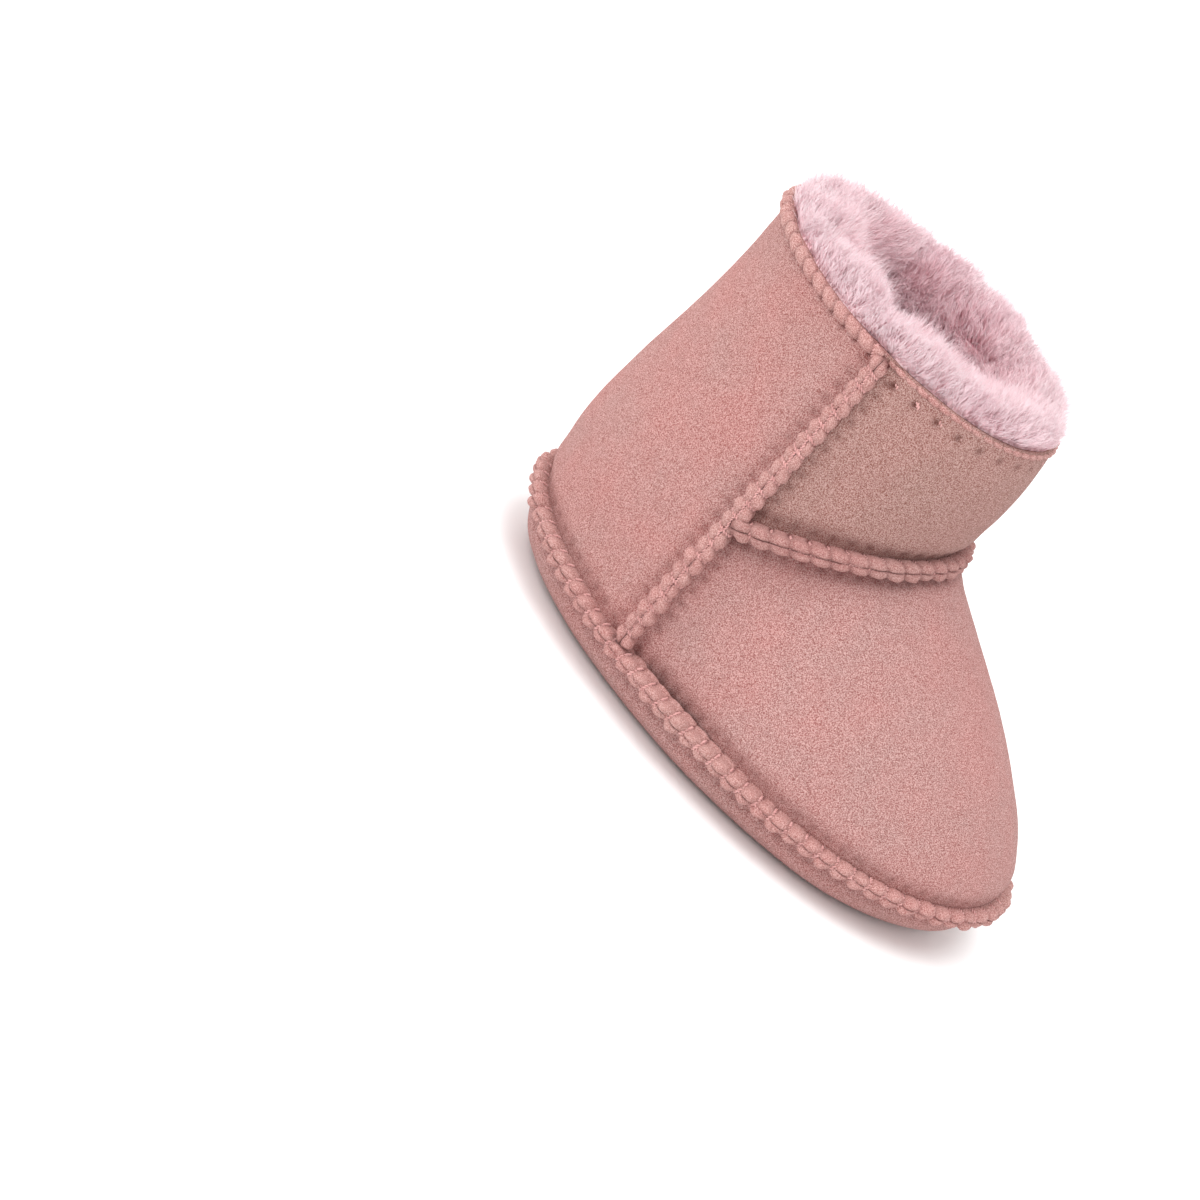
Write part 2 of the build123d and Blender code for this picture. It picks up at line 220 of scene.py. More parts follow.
def collar_height(angle):
    y = AXIS_Y - oval_radius(angle, COLLAR_HALF_WIDTH, COLLAR_HALF_LENGTH) * np.cos(angle)
    return SOLE_DEPTH + SHAFT_HEIGHT + COLLAR_TILT * (y - COLLAR_Y) / COLLAR_HALF_LENGTH


def vamp_surface(angle, share):
    crease_radius, crease_height = crease(angle)
    radius = mix(sole_radius(angle), crease_radius, share ** DOME_POWER) + VAMP_BELLY * swell(share)
    wall = shaft_radius(angle, crease_height * share)
    height = mix(seam_height(angle), SOLE_DEPTH + crease_height, share)
    return at(angle, mix(radius, wall, np.sin(angle) ** 8), height)


def front_shaft_surface(angle, share):
    height = mix(SOLE_DEPTH + crease(angle)[1], collar_height(angle), share)
    radius = shaft_radius(angle, height - SOLE_DEPTH)
    return at(angle, radius + SHAFT_CROWN * np.cos(angle) * np.sin(pi * share), height)


def quarter_surface(angle, share):
    height = mix(seam_height(angle), collar_height(angle), share)
    return at(angle, shaft_radius(angle, SHAFT_HEIGHT * share), height)


def sole_surface(turn, depth_share):
    """Depth share 0 is the seam, 1 the rim of the flat patch and 2 its middle."""
    side = np.minimum(depth_share, 1.0) * pi / 2
    reach = np.maximum(np.cos(side), 0) ** (2 / SOLE_SQUARENESS)
    scale = PATCH_SCALE + (1 - PATCH_SCALE) * reach
    scale = scale * np.where(depth_share > 1, 2 + PATCH_HOLE - depth_share, 1.0)
    drop = np.sin(side) ** (2 / SOLE_SQUARENESS * SOLE_FLATNESS)
    x, y = sole_outline(turn)
    top = SOLE_DEPTH + seam_rise(y)
    return np.stack([x * scale, y * scale, top * (1 - drop)], -1)


# Small numeric tools

def unit(v):
    return v / np.maximum(np.linalg.norm(v, axis=-1, keepdims=True), 1e-9)


def noise(points, scale, seed):
    """Smooth noise from -1 to 1 with features about scale apart."""
    rng = np.random.default_rng(SEED + seed)
    table = rng.uniform(-1, 1, (NOISE_CELLS,) * 3)
    p = points / scale + NOISE_SHIFT
    cell = np.floor(p).astype(int)
    f = p - cell
    f = f * f * (3 - 2 * f)
    total = 0.0
    for step in np.ndindex(2, 2, 2):
        near = np.abs(1 - np.array(step) - f)
        corner = (cell + step) % NOISE_CELLS
        weight = near[..., 0] * near[..., 1] * near[..., 2]
        total = total + weight * table[corner[..., 0], corner[..., 1], corner[..., 2]]
    return total


def bumps(points, layers):
    return sum(height * noise(points, scale, seed) for scale, height, seed in layers)


def lengths(points):
    """Distance walked along a run of points."""
    steps = np.linalg.norm(np.diff(points, axis=0), axis=1)
    return np.concatenate([[0.0], np.cumsum(steps)])


def resample(points, step):
    """The same run of points at an even step, and its length."""
    walked = lengths(points)
    count = max(2, int(round(walked[-1] / step)) + 1)
    wanted = np.linspace(0, walked[-1], count)
    even = np.stack([np.interp(wanted, walked, points[:, k]) for k in range(3)], 1)
    return even, walked[-1]


def grid_over(low, high, columns, shares):
    """Angles and shares of a grid of points, columns first."""
    return np.meshgrid(np.linspace(low, high, columns), shares, indexing="ij")


def grid_normals(grid):
    along = np.gradient(grid, axis=0)
    across = np.gradient(grid, axis=1)
    return unit(np.cross(along, across))


def catmull_rom(a, b, c, d, t):
    """Point of a smooth curve at a share t of the way from b to c."""
    return 0.5 * (2 * b + (c - a) * t + (2 * a - 5 * b + 4 * c - d) * t ** 2
                  + (3 * b - a - 3 * c + d) * t ** 3)


def smooth_run(points, steps):
    """Smooth curve through points, steps for each span."""
    padded = np.vstack([2 * points[0] - points[1], points, 2 * points[-1] - points[-2]])
    t = np.linspace(0, 1, steps, endpoint=False)[:, None]
    runs = [catmull_rom(*span, t) for span in zip(padded, padded[1:], padded[2:], padded[3:])]
    return np.vstack(runs + [points[-1:]])


# Meshes

class Soup:
    """Collects points, faces and one shade value per point for one piece."""

    def __init__(self):
        self.points, self.faces, self.shades, self.count = [], [], [], 0

    def add(self, points, shades, *face_sets):
        """Adds points and their faces; each set of faces is all quads or all triangles."""
        self.points.append(points)
        self.shades.append(shades)
        self.faces += [faces + self.count for faces in face_sets]
        self.count += len(points)

    def piece(self, name, slot, material, nodes=()):
        """Visible piece of all that was added; it stands for the CAD nodes, if there are any."""
        piece = bpy.data.objects.new(name, self.mesh(name))
        piece.data.materials.append(material)
        bpy.context.scene.collection.objects.link(piece)
        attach(piece, "root")
        if nodes:
            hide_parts(*nodes)
        return piece

    def mesh(self, name):
        points, shades = np.vstack(self.points), np.concatenate(self.shades)
        sizes = np.concatenate([np.full(len(faces), faces.shape[1]) for faces in self.faces])
        corners = np.concatenate([faces.ravel() for faces in self.faces])
        starts = np.concatenate([[0], np.cumsum(sizes)[:-1]])
        mesh = bpy.data.meshes.new(name)
        mesh.vertices.add(len(points))
        mesh.vertices.foreach_set("co", (points * MM).astype(np.float32).ravel())
        mesh.loops.add(len(corners))
        mesh.loops.foreach_set("vertex_index", corners.astype(np.int32))
        mesh.polygons.add(len(sizes))
        mesh.polygons.foreach_set("loop_start", starts.astype(np.int32))
        mesh.polygons.foreach_set("loop_total", sizes.astype(np.int32))
        mesh.update(calc_edges=True)
        mesh.validate()
        mesh.polygons.foreach_set("use_smooth", np.ones(len(mesh.polygons), bool))
        shade = mesh.attributes.new("shade", "FLOAT", "POINT")
        shade.data.foreach_set("value", shades.astype(np.float32))
        return mesh


def grid_faces(rows, columns, wrap=False):
    """Quads of a grid of points; wrap joins the last column to the first."""
    across = columns if wrap else columns - 1
    i, j = np.meshgrid(np.arange(rows - 1), np.arange(across), indexing="ij")
    k = (j + 1) % columns
    here, below = i * columns, (i + 1) * columns
    return np.stack([here + j, here + k, below + k, below + j], -1).reshape(-1, 4)


def slab(soup, outer, inner, outer_shade, inner_shade):
    """Closed body between two grids of points of the same size."""
    rows, columns = outer.shape[:2]
    quads = grid_faces(rows, columns)
    n = rows * columns
    ring = np.concatenate([
        np.arange(columns),
        np.arange(1, rows) * columns + columns - 1,
        np.arange(columns - 2, -1, -1) + (rows - 1) * columns,
        np.arange(rows - 2, 0, -1) * columns])
    following = np.roll(ring, -1)
    edge = np.stack([following, ring, ring + n, following + n], -1)
    soup.add(np.vstack([outer.reshape(-1, 3), inner.reshape(-1, 3)]),
             np.concatenate([outer_shade.ravel(), inner_shade.ravel()]),
             np.vstack([quads, quads[:, ::-1] + n, edge]))


def tube(soup, sections, shade):
    """Closed tube through a run of closed sections, with its ends filled by fans."""
    rows, columns = sections.shape[:2]
    ends = np.stack([sections[0].mean(0), sections[-1].mean(0)])
    points = np.vstack([sections.reshape(-1, 3), ends])
    shades = np.append(np.broadcast_to(shade, (rows, columns)), [np.min(shade)] * 2)
    n = rows * columns
    j = np.arange(columns)
    k = (j + 1) % columns
    quads = grid_faces(rows, columns, wrap=True)
    first = np.stack([np.full(columns, n), k, j], -1)
    last = np.stack([np.full(columns, n + 1), j + n - columns, k + n - columns], -1)
    soup.add(points, shades, quads, np.vstack([first, last]))


# Seams

class Seam:
    """A line sewn at even stitches. Side +1 is where across points, side -1 the other panel."""

    # shadow is how dark a painted shadow makes the skin beside the seam and its turned edges
    def __init__(self, line, outward, across, pitch, reach, thickness, fillet=0.4, shadow=0.08,
                 relief=1.0, closed=False):
        self.line, self.closed = line, closed
        self.fillet, self.shadow, self.relief = fillet, shadow, relief
        tangent = unit(np.gradient(line, axis=0))
        if closed:
            tangent[0] = tangent[-1] = unit(line[1] - line[-2])
        outward = unit(outward - tangent * np.sum(outward * tangent, -1, keepdims=True))
        side = np.cross(tangent, outward)
        facing = np.sign(np.sum(side * across, -1, keepdims=True))
        self.outward, self.across = outward, unit(side * facing)
        self.walked = lengths(line)
        self.count = round(self.walked[-1] / pitch)
        self.pitch = self.walked[-1] / self.count
        self.reach = np.broadcast_to(reach, self.walked.shape)
        self.thickness = np.broadcast_to(thickness, self.walked.shape)
        rng = np.random.default_rng(SEED + self.count)
        self.lobe_size = rng.normal(1, LOBE_SPREAD, (2, self.count + 2))

    def at(self, where, values):
        return np.stack([np.interp(where, self.walked, values[:, k]) for k in range(3)], -1)

    def place(self, where, out, over):
        """Points at distances along, out from and across the seam."""
        where = np.mod(where, self.walked[-1]) if self.closed else np.clip(where, 0, self.walked[-1])
        out, over = np.asarray(out)[..., None], np.asarray(over)[..., None]
        return (self.at(where, self.line) + self.at(where, self.outward) * out
                + self.at(where, self.across) * over)

    def puff(self, where, side):
        """0 where a stitch pinches the turned edge, near 1 in the middle of a lobe."""
        share = where / self.pitch
        lobe = np.floor(share).astype(int)
        row = 0 if side > 0 else 1
        size = self.lobe_size[row, np.clip(lobe, 0, self.count + 1)]
        return mix(EVEN_PUFF, np.abs(np.sin(pi * share)) ** LOBE_POWER * size, self.relief)


def lip(soup, seam, side, start=None, stop=None):
    """One panel edge turned out along a seam, puffed into a lobe between each two stitches."""
    first = 0.0 if start is None else start
    last = seam.walked[-1] if stop is None else stop
    where = np.linspace(first, last, int((last - first) / EDGE_STEP))
    puff = seam.puff(where, side)[:, None]
    if not seam.closed:
        edge = np.minimum(where - first, last - where)[:, None]
        puff = puff * np.clip(edge / EDGE_TAPER, 0.35, 1)
    full_reach = np.interp(where, seam.walked, seam.reach)[:, None]
    full_thick = np.interp(where, seam.walked, seam.thickness)[:, None]
    reach = full_reach * mix(*REACH_SHARE, puff)
    thick = full_thick * mix(*THICKNESS_SHARE, puff)
    tail = full_thick * mix(*TAIL_SHARE, puff)
    level = np.zeros_like(reach)
    corners = [  # out from the seam line and over to the panel's side
        (level - 1.0, level + 0.03), (0.5 * reach, level + 0.04),
        (reach - 0.20 * thick, 0.03 * thick), (reach - 0.02 * thick, 0.22 * thick),
        (reach, 0.52 * thick), (reach - 0.16 * thick, 0.82 * thick),
        (reach - 0.50 * thick, 1.0 * thick), (0.40 * reach, 1.0 * thick),
        (0.20 * reach, tail + 0.2 * seam.fillet), (0.03 * reach, tail + 0.6 * seam.fillet),
        (level - 0.55, tail + seam.fillet), (level - 1.25, tail + 0.6 * seam.fillet),
        (level - 1.3, 0.6 * tail)]
    section = np.stack([np.concatenate(part, 1) for part in zip(*corners)], -1)
    section = rounded_sections(section, 2)
    out, over = section[..., 0], section[..., 1]
    along = where[:, None] + SLANT * over * side
    along = along if seam.closed else np.clip(along, first, last)
    points = seam.place(along, out, over * side)
    bump = bumps(points, EDGE_BUMPS)
    points = points + bump[..., None] * seam.at(where, seam.outward)[:, None]
    relief_puff = puff - EVEN_PUFF * (1 - seam.relief)
    pinch = np.clip(1 - relief_puff / (PINCH_SPAN * seam.relief), 0, 1)
    # Painted shade: dark slits at the root of each pinch, darker pinches and groove, and the seam's
    # painted shadow over the whole edge.
    root = bell(out - 0.22 * reach, 0.7) * np.clip(over / thick, 0, 1)
    groove = bell(over - 0.1, 0.3)
    shade = 1 - 1.1 * pinch * root - 0.30 * pinch - 0.14 * groove - 0.5 * seam.shadow
    tube(soup, points, np.clip(shade, 0, 1))


def rounded_sections(section, steps):
    """Every closed section rounded, with steps points for each side."""
    span = [np.roll(section, shift, 1) for shift in (1, 0, -1, -2)]
    made = [catmull_rom(*span, t) for t in np.arange(steps) / steps]
    return np.stack(made, 2).reshape(section.shape[0], -1, 2)


def twisted(soup, path, radius, phase):
    """Thread along a path: plies wound round each other."""
    path, length = resample(path, THREAD_STEP)
    tangent = unit(np.gradient(path, axis=0))
    normal = np.zeros_like(path)
    helper = np.array([0.31, 0.72, 0.62])  # any direction that no path starts in
    normal[0] = unit(np.cross(tangent[0], helper))
    for i in range(1, len(path)):
        kept = normal[i - 1] - tangent[i] * np.dot(normal[i - 1], tangent[i])
        normal[i] = kept / np.linalg.norm(kept)
    binormal = np.cross(tangent, normal)
    walked = np.linspace(0, length, len(path))
    around = np.linspace(0, 2 * pi, THREAD_SIDES, endpoint=False)
    for ply in range(PLIES):
        wind = 2 * pi * (walked / LAY + ply / PLIES) + phase
        centre = path + radius * (np.cos(wind)[:, None] * normal + np.sin(wind)[:, None] * binormal)
        ring = (np.cos(around)[None, :, None] * normal[:, None]
                + np.sin(around)[None, :, None] * binormal[:, None])
        tube(soup, centre[:, None] + radius * PLY_RADIUS * ring, 1.0)


def overcast(soup, seam):
    """Stitches over both edges at every pinch, and the chain that links them in the groove."""
    rng = np.random.default_rng(SEED + 7 * seam.count)
    for i in range(1 - int(seam.closed), seam.count):
        where = i * seam.pitch
        reach = np.interp(where, seam.walked, seam.reach) * STITCH_REACH
        thick = np.interp(where, seam.walked, seam.thickness) * STITCH_HEIGHT
        lift = THREAD_RADIUS
        outs = np.array([-0.3, 0.15, 0.42 * reach, 0.74 * reach, reach + lift, reach + 1.2 * lift])
        overs = np.array([thick - 0.3, thick + 0.1, thick + lift, 0.95 * thick + lift,
                          0.45 * thick, 0.0])
        out = np.concatenate([outs, outs[-2::-1]])
        over = np.concatenate([overs, -overs[-2::-1]])
        along = where + SLANT * over * rng.normal(1, STITCH_SPREAD)
        path = smooth_run(seam.place(along, out, over), 5)
        twisted(soup, path, THREAD_RADIUS, rng.uniform(0, 6))
        if seam.closed or i < seam.count - 1:
            t = np.linspace(0, 1, 7)
            deep = reach + 0.3 * lift + 0.16 * reach * np.sin(pi * t)
            sway = 0.20 * np.sin(2 * pi * t + rng.normal(0, 0.3)) + rng.normal(0, 0.05)
            path = smooth_run(seam.place(where + seam.pitch * t, deep, sway), 4)
            twisted(soup, path, THREAD_RADIUS * CHAIN_THREAD, rng.uniform(0, 6))


# Lines that the seams follow

SOLE_TURNS = np.linspace(0, 2 * pi, 1441)
UP = np.array([0.0, 0.0, 1.0])
SEAM_AXIS = np.array([0.0, AXIS_Y, 0.0])
SIDE_SEAM_FOOT = 2.0  # from the sole seam to the side seam's lower end
SIDE_SEAM_DROP = 0.8  # from the collar edge to its upper end
SIDE_TAPER = (30.0, 65.0)  # heights between which the side seam gets narrower


def sole_seam():
    x, y = sole_outline(SOLE_TURNS)
    tip_x, tip_y = sole_outline(SOLE_TURNS, 1.0)
    line = np.stack([x, y, SOLE_DEPTH + seam_rise(y)], -1)
    upturn = 0.06 * (y / 60) ** 4  # at the toe and the heel only
    outward = np.stack([tip_x - x, tip_y - y, seam_rise(tip_y) - seam_rise(y) + upturn], -1)
    return Seam(line, unit(outward), UP, PITCH, reach=SOLE_REACH - 0.3, thickness=1.7, closed=True)


def side_seam(side):
    height = np.linspace(SIDE_SEAM_FOOT, SHAFT_HEIGHT - SIDE_SEAM_DROP, 500)
    radius = shaft_radius(np.full_like(height, SIDE), height)
    line = np.stack([side * radius, np.full_like(height, AXIS_Y), SOLE_DEPTH + height], -1)
    outward = np.array([side, 0.0, 0.0])
    across = np.array([0.0, -1.0, 0.0])
    rise = np.interp(height, SIDE_TAPER, (0.0, 1.0))
    return Seam(line, outward, across, SIDE_PITCH, reach=mix(3.4, 2.1, rise),
                thickness=mix(2.3, 2.0, rise), fillet=0.3)


def instep_seam():
    end = SIDE - radians(0.4)
    angle = np.linspace(-end, end, 900)
    radius, height = crease(angle)
    line = at(angle, radius, SOLE_DEPTH + height)
    outward = at(angle, 1.0, CREASE_SLOPE * np.cos(angle)) - SEAM_AXIS
    return Seam(line, unit(outward), UP, PITCH, reach=4.3, thickness=2.0, shadow=0.38, relief=0.6)


SOLE_SEAM = sole_seam()
LEFT_SEAM = side_seam(1)
RIGHT_SEAM = side_seam(-1)
INSTEP_SEAM = instep_seam()


# Suede skin between the seams

# HOLE_PAINTED_SHADE is how dark painted shade makes each collar stitch hole
HOLE_DEPTH, HOLE_PAINTED_SHADE = 0.35, 0.95
FOOT_IN, FOOT_DOWN = 0.2, 0.6  # where a skin's foot ends, from the sole seam
VAMP_EDGE_END = CREASE_HEIGHT - 2.0  # distances along a side seam
SHAFT_EDGE_START = CREASE_HEIGHT - 1.6
FLAT_FADE = 3.0  # height up to which the sole's unevenness fades out
FLOOR_GAP = 0.02
ABOVE_SOLE = np.array([0.0, 0.0, 40.0])  # the whole sole faces away from here


def side_mark():
    """Distance along the sole seam, from the heel, to where the side seam meets it."""
    turn = np.linspace(0.3, 2.5, 4000)
    meeting = turn[np.argmin(np.abs(sole_outline(turn)[1] - AXIS_Y))]
    return np.interp(meeting, SOLE_TURNS, SOLE_SEAM.walked)


SIDE_MARK = side_mark()


def beside(distance, amount, centre, width):
    return amount * bell(distance - centre, width)


def near_seams(points, seams):
    """Dimple and painted shade of the skin near its seams: it puffs up and is pulled in at each
    stitch, with painted shade in each dimple and a painted shadow beside the seam.
    """
    flat = points.reshape(-1, 3)
    push = np.zeros(len(flat))
    shade = np.ones(len(flat))
    for seam in seams:
        low, high = seam.line.min(0) - SEAM_INFLUENCE, seam.line.max(0) + SEAM_INFLUENCE
        inside = np.where(np.all((flat > low) & (flat < high), axis=1))[0]
        coarse, walked = seam.line[::3], seam.walked[::3]
        for chunk in np.array_split(inside, max(1, len(inside) // CHUNK)):
            gap = np.linalg.norm(flat[chunk][:, None] - coarse[None], axis=2)
            nearest = gap.argmin(1)
            distance = gap.min(1)
            stitch = 0.5 + 0.5 * np.cos(2 * pi * walked[nearest] / seam.pitch)
            push[chunk] += beside(distance, *RIDGE)
            push[chunk] -= stitch * beside(distance, *DIMPLE)
            # painted shade in the dimple at each stitch
            shade[chunk] -= stitch ** 3 * beside(distance, *DIMPLE_PAINTED_SHADE)
            # painted shadow beside the seam
            shade[chunk] -= seam.shadow * bell(distance, PAINTED_SHADOW_WIDTH)
    return push.reshape(points.shape[:-1]), np.clip(shade, 0, 1).reshape(points.shape[:-1])


def skin(soup, grid, seams, marks=()):
    """Suede skin over a grid; marks are rows of collar holes with their drop and size."""
    normals = grid_normals(grid)
    push, shade = near_seams(grid, seams)
    for holes, drop, size in marks:
        mark = near_holes(grid, holes, drop, size)
        push = push - HOLE_DEPTH * mark
        # painted shade in each stitch hole
        shade = shade - HOLE_PAINTED_SHADE * mark
    shade = np.clip(shade, 0, 1)
    outer = grid + normals * (push + bumps(grid, SKIN_BUMPS))[..., None]
    slab(soup, outer, outer - normals * SKIN, shade, shade)


def panel_pieces(name, soup, edges, material):
    """A panel's skin and its turned edges, made as two pieces."""
    turned = edges.piece(f"{name}_turned_edges", "suede", EDGE_SUEDE)
    panel = soup.piece(f"{name}_skin", "suede", material, [f"{name}_panel"])


def surface_grid(surface, angle, share):
    return surface(angle.ravel(), share.ravel()).reshape(*angle.shape, 3)


def panel_grid(surface, low, high, columns, rows):
    return surface_grid(surface, *grid_over(low, high, columns, np.linspace(0, 1, rows)))


def sewn_foot(grid, low, high):
    """A panel's grid with one more row, below it, that closes it to the sole seam."""
    angle = np.linspace(low, high, len(grid))
    foot = at(angle, sole_radius(angle) - FOOT_IN, seam_height(angle) - FOOT_DOWN)
    return np.concatenate([foot[:, None], grid], 1)


def vamp_skin(material):
    soup, edges = Soup(), Soup()
    grid = sewn_foot(panel_grid(vamp_surface, -SIDE, SIDE, 230, 110), -SIDE, SIDE)
    skin(soup, grid, (SOLE_SEAM, LEFT_SEAM, RIGHT_SEAM, INSTEP_SEAM))
    lip(edges, SOLE_SEAM, 1, SIDE_MARK, SOLE_SEAM.walked[-1] - SIDE_MARK)
    lip(edges, INSTEP_SEAM, -1)
    for seam in (LEFT_SEAM, RIGHT_SEAM):
        lip(edges, seam, 1, 0, VAMP_EDGE_END)
    panel_pieces("vamp", soup, edges, material)


def front_shaft_skin(material):
    soup, edges = Soup(), Soup()
    grid = panel_grid(front_shaft_surface, -SIDE, SIDE, 260, 96)
    marks = [(FRONT_HOLES, HOLE_DROP, 0.75)]
    skin(soup, grid, (LEFT_SEAM, RIGHT_SEAM, INSTEP_SEAM), marks)
    lip(edges, INSTEP_SEAM, 1)
    for seam in (LEFT_SEAM, RIGHT_SEAM):
        lip(edges, seam, 1, SHAFT_EDGE_START, seam.walked[-1])
    collar_roll(edges, FRONT_SCALLOPS, -SIDE + 0.03, SIDE - 0.03, *FRONT_ROLL)
    panel_pieces("front_shaft", soup, edges, material)


def heel_quarter_skin(material):
    soup, edges = Soup(), Soup()
    grid = sewn_foot(panel_grid(quarter_surface, SIDE, 3 * SIDE, 260, 130), SIDE, 3 * SIDE)
    skin(soup, grid, (SOLE_SEAM, LEFT_SEAM, RIGHT_SEAM), [(BACK_HOLES, 2.5, 0.5)])
    collar_roll(edges, BACK_HOLES, SIDE + 0.02, 3 * SIDE - 0.02, *BACK_ROLL)
    lip(edges, SOLE_SEAM, 1, SOLE_SEAM.walked[-1] - SIDE_MARK, SOLE_SEAM.walked[-1] + SIDE_MARK)
    for seam in (LEFT_SEAM, RIGHT_SEAM):
        lip(edges, seam, -1)
    panel_pieces("heel_quarter", soup, edges, material)


def sole_skin(material):
    soup, edges = Soup(), Soup()
    depth = np.append(np.linspace(0, 1, 34), np.linspace(1.02, 2.0, 46))
    grid = sole_surface(*grid_over(0, 2 * pi, 361, depth))
    normals = grid_normals(grid)
    away = grid - ABOVE_SOLE
    normals = normals * np.sign(np.sum(normals * away, -1, keepdims=True))
    push, shade = near_seams(grid, (SOLE_SEAM,))
    fade = np.clip(grid[..., 2:] / FLAT_FADE, 0, 1)
    outer = grid + normals * fade * (push + bumps(grid, SOLE_BUMPS))[..., None]
    outer[..., 2] = np.maximum(outer[..., 2], FLOOR_GAP)
    outer[-1] = outer[0]
    slab(soup, outer, outer - normals * SKIN, shade, shade)
    lip(edges, SOLE_SEAM, -1)
    panel_pieces("sole", soup, edges, material)


# Collar

HOLE_DROP = 3.4  # from the front collar edge down to its stitch holes
ROLL_DROP = 0.4
FRONT_ROLL = (0.50, 0.55)  # width and height of the rolled edge
BACK_ROLL = (1.15, 1.30)
ROLL_LEAN = 0.45


def collar_line(low, high, drop):
    angle = np.linspace(low, high, 900)
    height = collar_height(angle) - drop
    return angle, at(angle, shaft_radius(angle, height - SOLE_DEPTH), height)


def collar_holes(low, high, drop, pitch):
    """Even points along a stitch line below the collar edge."""
    angle, line = collar_line(low, high, drop)
    walked = lengths(line)
    count = round(walked[-1] / pitch)
    where = (np.arange(count) + 0.5) * walked[-1] / count
    return np.interp(where, walked, angle)


FRONT_HOLES = collar_holes(-SIDE + 0.06, SIDE - 0.06, HOLE_DROP, HOLE_PITCH)
FRONT_SCALLOPS = collar_holes(-SIDE + 0.04, SIDE - 0.04, ROLL_DROP, SCALLOP_PITCH)
BACK_HOLES = collar_holes(SIDE + 0.04, 3 * SIDE - 0.04, ROLL_DROP, COLLAR_PITCH)


def collar_roll(soup, holes, low, high, roll_width, roll_height):
    """Edge of a shaft panel rolled over and pulled in by each stitch."""
    angle, line = collar_line(low, high, ROLL_DROP)
    walked = lengths(line)
    hole_at = np.interp(holes, angle, walked)
    around = np.linspace(0, 2 * pi, 16, endpoint=False)
    leaning = walked[:, None] + ROLL_LEAN * roll_height * np.sin(around)
    nearest = np.abs(leaning[..., None] - hole_at).min(-1)
    pitch = walked[-1] / len(holes)
    puff = np.abs(np.sin(pi * np.clip(nearest / pitch, 0, 0.5))) ** LOBE_POWER
    end = np.minimum(walked, walked[-1] - walked)
    puff = puff * np.clip(end / 2, 0.3, 1)[:, None]
    outward = unit(at(angle, 1.0, 0.0) - SEAM_AXIS)
    wide = (roll_width * (0.50 + 0.60 * puff))[..., None]
    tall = (roll_height * (0.70 + 0.36 * puff))[..., None]
    centre = line + outward * 0.24 * roll_width - UP * 0.6 * roll_height
    sections = (centre[:, None] + wide * np.cos(around)[None, :, None] * outward[:, None]
                + tall * np.sin(around)[None, :, None] * UP)
    bump = bumps(sections, ROLL_BUMPS)
    sections = sections + bump[..., None] * roll_width * outward[:, None]
    # Painted shade: dark slits at each pinch and a darker underside of the roll.
    pinch = np.clip(1 - puff / 0.5, 0, 1)
    low_side = np.clip(-np.sin(around), 0, 1)[None] ** 2
    shade = np.clip(1 - pinch * (0.5 + 0.5 * low_side) - 0.2 * low_side, 0, 1)
    tube(soup, sections[::2], shade[::2])


def collar_stitches(name, holes, path, node_name, material):
    """Thread over the collar edge at every hole; the path gives drops and distances outward."""
    soup = Soup()
    rng = np.random.default_rng(SEED + len(holes))
    lean = 0.3 * (holes[1] - holes[0])
    for angle in holes:
        steps = np.linspace(0, 1, len(path))
        tilt = angle + lean * rng.normal(1, STITCH_SPREAD) * (1 - steps)
        drop, out = np.array(path).T
        height = collar_height(tilt) - drop
        radius = shaft_radius(tilt, np.minimum(height - SOLE_DEPTH, SHAFT_HEIGHT)) + out
        twisted(soup, smooth_run(at(tilt, radius, height), 5), THREAD_RADIUS, rng.uniform(0, 6))
    soup.piece(name, "thread", material, [node_name])


def near_holes(points, holes, drop, size):
    """1 at the stitch holes of a collar line, fading over their size."""
    height = collar_height(holes) - drop
    mark = np.zeros(points.shape[:-1])
    for centre in at(holes, shaft_radius(holes, height - SOLE_DEPTH), height):
        mark = np.maximum(mark, bell(np.linalg.norm(points - centre, axis=-1), size))
    return mark


# Wool

WALL = SKIN + 0.1
FOOT_DEPTH = 4.8  # from the skin to the surface that the loose fibres grow from
RIM_DEPTH = 10.5  # the same at the collar, where the wool is loosest
RIM_DROP = 3.2  # from the collar edge down to where the rim's wool starts
RIM_CLIMB = 1.55  # half the way it climbs from there to the skin's edge
RIM_EDGE = 0.95  # how much of the skin's cut edge the wool leaves bare
ROLL_RISE = 3.5
FRONT_FALL = 1.2  # how much lower the wool's crest is at the front and back
WOOL_LOW, WOOL_HIGH = 0.03, 0.955  # shares of the shaft's height that its wool covers
DEPTH_KNOTS = ([WOOL_LOW, 0.2, 0.5, 0.8, 1.0], [4.0, 8.0, 13.0, 13.5, RIM_DEPTH])
BED_SHADE = 0.2  # of the wool's face on the skin
SOLE_WOOL_SCALE = 0.86

# Fibres
LOCK_DENSITY = 0.16  # locks for each square millimetre
SWIRL, SWIRL_SCALE = 0.55, 6.0
LENGTH_RANGE = (0.72, 1.12)
OWN_WAY = 0.22  # how far single fibres lean off their lock's way
GATHER_RANGE = (0.20, 0.70)
LOCK_SPREAD = 0.30
STRAY_SHARE = 0.24
STRAY_LENGTH = (1.08, 1.5)
TONE_SPREAD = 0.08
STATIONS = (0.0, 0.36, 0.70)  # shares of a fibre's length with a ring of points
# the lower tone at a fibre's root is partly painted shade of the pile's depth
STATION_TONES = (0.0, 0.42, 0.78)  # from the tone at its root to the tone at its tip
TAPER = 0.62
FIBRE_SIDES = 3
BIGGEST_PIECE = 12000  # fibres in one piece, so that it is stored whole
SHAFT_FIBRE, FOOT_FIBRE = 0.058, 0.10  # radius


